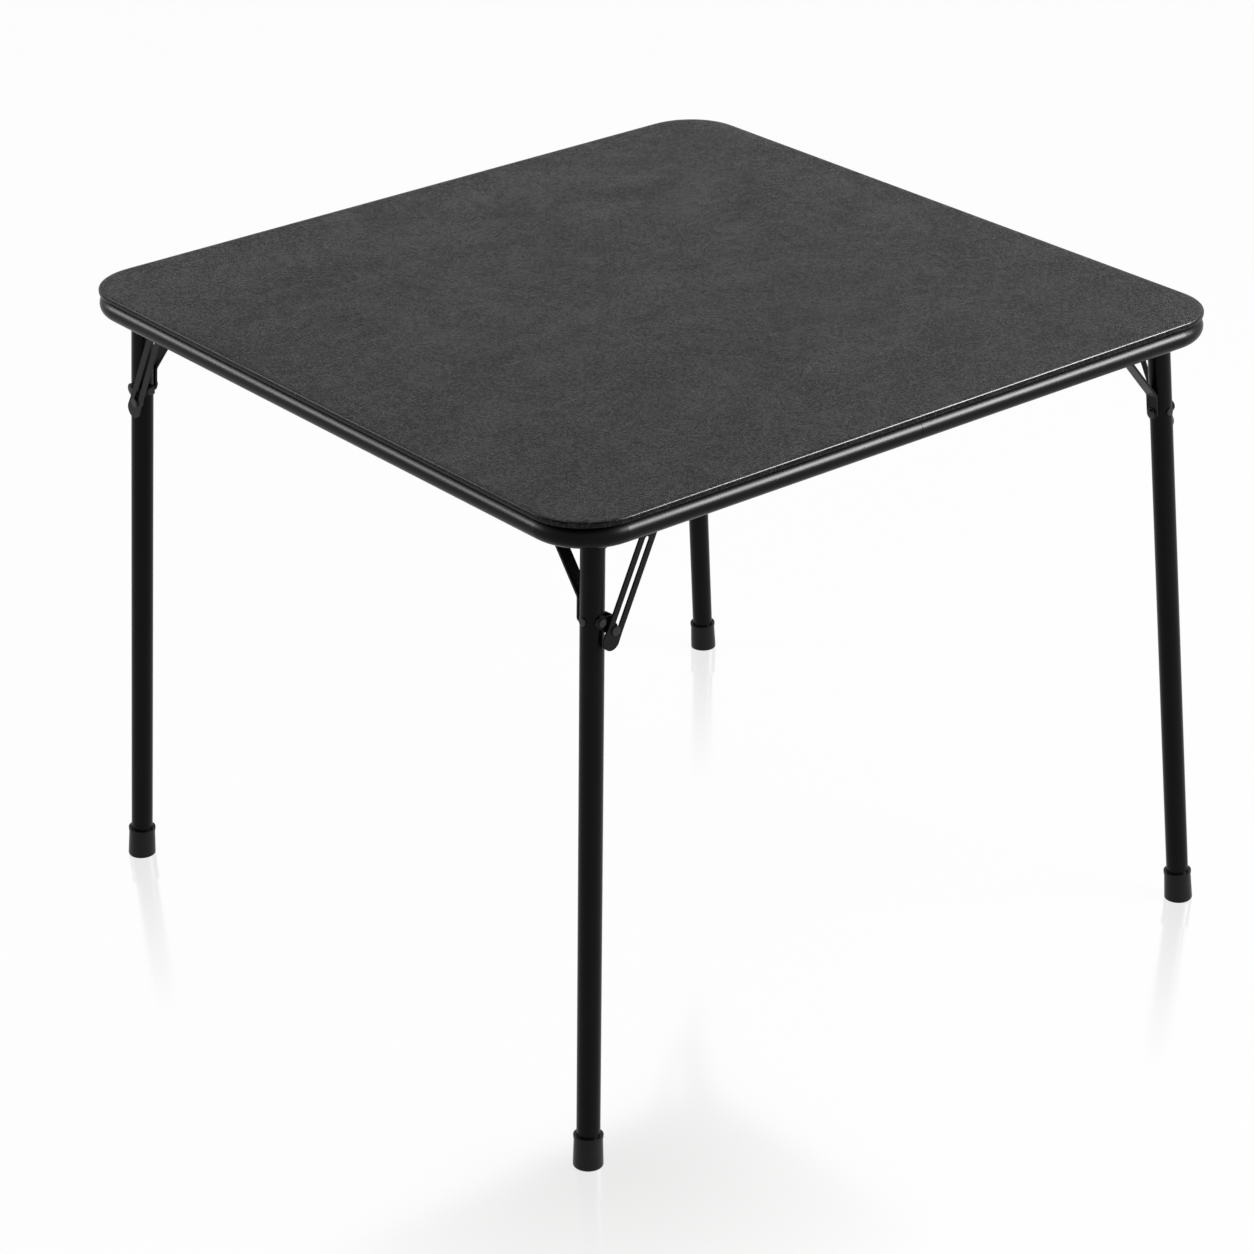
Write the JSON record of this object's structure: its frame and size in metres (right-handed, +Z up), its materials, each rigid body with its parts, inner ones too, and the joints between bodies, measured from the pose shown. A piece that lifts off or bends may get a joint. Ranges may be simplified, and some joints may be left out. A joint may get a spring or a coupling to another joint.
{
  "type": "folding card table",
  "caption": "Square folding card table: vinyl padded top on a bent tube rail, splayed tube legs that fold flat on hinge brackets with slotted locking braces and rubber feet.",
  "frame": {"origin": "on the floor, under the middle of the top", "axes": "+Z up; the sides of the top lie along X and Y, and the front corner is at -X -Y"},
  "size_m": [0.8704, 0.8704, 0.698],
  "materials": {
    "vinyl": "black vinyl with a fine soft grain and a low sheen",
    "foam": "thin foam sheet",
    "board": "pressed fibreboard",
    "tube_paint": "smooth satin black powder coat",
    "bracket_paint": "semi-gloss black enamel",
    "rivet_steel": "black-coated steel, a little brighter at the rims",
    "screw_steel": "zinc plated",
    "rubber": "matt black moulded rubber"
  },
  "bodies": {
    "frame": {"top_board": "board", "foam_pad": "foam", "vinyl_cover": "vinyl", "rail_frame": "tube_paint", "rail_splice": "tube_paint", "rail_screws": "screw_steel", "bracket_screws": "screw_steel", "hinge_bracket_front": "bracket_paint", "hinge_pin_front": "rivet_steel", "brace_pivot_front": "rivet_steel", "hinge_bracket_right": "bracket_paint", "hinge_pin_right": "rivet_steel", "brace_pivot_right": "rivet_steel", "hinge_bracket_back": "bracket_paint", "hinge_pin_back": "rivet_steel", "brace_pivot_back": "rivet_steel", "hinge_bracket_left": "bracket_paint", "hinge_pin_left": "rivet_steel", "brace_pivot_left": "rivet_steel"},
    "leg_body_front": {"leg_front": "tube_paint", "strap_front": "bracket_paint", "strap_rivet_front": "rivet_steel", "stud_clip_front": "bracket_paint", "clip_rivets_front": "rivet_steel", "foot_front": "rubber"},
    "brace_body_front": {"slotted_brace_front": "bracket_paint"},
    "stud_body_front": {"lock_stud_front": "rivet_steel"},
    "leg_body_right": {"leg_right": "tube_paint", "strap_right": "bracket_paint", "strap_rivet_right": "rivet_steel", "stud_clip_right": "bracket_paint", "clip_rivets_right": "rivet_steel", "foot_right": "rubber"},
    "brace_body_right": {"slotted_brace_right": "bracket_paint"},
    "stud_body_right": {"lock_stud_right": "rivet_steel"},
    "leg_body_back": {"leg_back": "tube_paint", "strap_back": "bracket_paint", "strap_rivet_back": "rivet_steel", "stud_clip_back": "bracket_paint", "clip_rivets_back": "rivet_steel", "foot_back": "rubber"},
    "brace_body_back": {"slotted_brace_back": "bracket_paint"},
    "stud_body_back": {"lock_stud_back": "rivet_steel"},
    "leg_body_left": {"leg_left": "tube_paint", "strap_left": "bracket_paint", "strap_rivet_left": "rivet_steel", "stud_clip_left": "bracket_paint", "clip_rivets_left": "rivet_steel", "foot_left": "rubber"},
    "brace_body_left": {"slotted_brace_left": "bracket_paint"},
    "stud_body_left": {"lock_stud_left": "rivet_steel"}
  },
  "joints": [
    {"name": "leg_fold_front", "type": "hinge", "parent": "frame", "child": "leg_body_front", "pos_m": [-0.376, -0.386, 0.6635], "axis": [0.0436, -0.999, 0], "range_deg": [0, 93.5]},
    {"name": "brace_swing_front", "type": "hinge", "parent": "frame", "child": "brace_body_front", "pos_m": [-0.31334, -0.40428, 0.67975], "axis": [0.0436, -0.999, 0], "range_deg": [0, 109.51]},
    {"name": "stud_slide_front", "type": "slide", "parent": "brace_body_front", "child": "stud_body_front", "axis": [0.4536, 0.0198, 0.891], "range_m": [0, 0.09161]},
    {"name": "leg_fold_right", "type": "hinge", "parent": "frame", "child": "leg_body_right", "pos_m": [0.386, -0.376, 0.6635], "axis": [0.999, 0.0436, 0], "range_deg": [0, 93.5]},
    {"name": "brace_swing_right", "type": "hinge", "parent": "frame", "child": "brace_body_right", "pos_m": [0.40428, -0.31334, 0.67975], "axis": [0.999, 0.0436, 0], "range_deg": [0, 109.51]},
    {"name": "stud_slide_right", "type": "slide", "parent": "brace_body_right", "child": "stud_body_right", "axis": [-0.0198, 0.4536, 0.891], "range_m": [0, 0.09161]},
    {"name": "leg_fold_back", "type": "hinge", "parent": "frame", "child": "leg_body_back", "pos_m": [0.376, 0.386, 0.6635], "axis": [-0.0436, 0.999, 0], "range_deg": [0, 93.5]},
    {"name": "brace_swing_back", "type": "hinge", "parent": "frame", "child": "brace_body_back", "pos_m": [0.31334, 0.40428, 0.67975], "axis": [-0.0436, 0.999, 0], "range_deg": [0, 109.51]},
    {"name": "stud_slide_back", "type": "slide", "parent": "brace_body_back", "child": "stud_body_back", "axis": [-0.4536, -0.0198, 0.891], "range_m": [0, 0.09161]},
    {"name": "leg_fold_left", "type": "hinge", "parent": "frame", "child": "leg_body_left", "pos_m": [-0.386, 0.376, 0.6635], "axis": [-0.999, -0.0436, 0], "range_deg": [0, 93.5]},
    {"name": "brace_swing_left", "type": "hinge", "parent": "frame", "child": "brace_body_left", "pos_m": [-0.40428, 0.31334, 0.67975], "axis": [-0.999, -0.0436, 0], "range_deg": [0, 109.51]},
    {"name": "stud_slide_left", "type": "slide", "parent": "brace_body_left", "child": "stud_body_left", "axis": [0.0198, -0.4536, 0.891], "range_m": [0, 0.09161]}
  ],
  "couplings": [
    {"joint": "brace_swing_front", "follows": "leg_fold_front", "ratio": 1.1712},
    {"joint": "stud_slide_front", "follows": "leg_fold_front", "m_per_rad": 0.056124},
    {"joint": "brace_swing_right", "follows": "leg_fold_right", "ratio": 1.1712},
    {"joint": "stud_slide_right", "follows": "leg_fold_right", "m_per_rad": 0.056124},
    {"joint": "brace_swing_back", "follows": "leg_fold_back", "ratio": 1.1712},
    {"joint": "stud_slide_back", "follows": "leg_fold_back", "m_per_rad": 0.056124},
    {"joint": "brace_swing_left", "follows": "leg_fold_left", "ratio": 1.1712},
    {"joint": "stud_slide_left", "follows": "leg_fold_left", "m_per_rad": 0.056124}
  ]
}
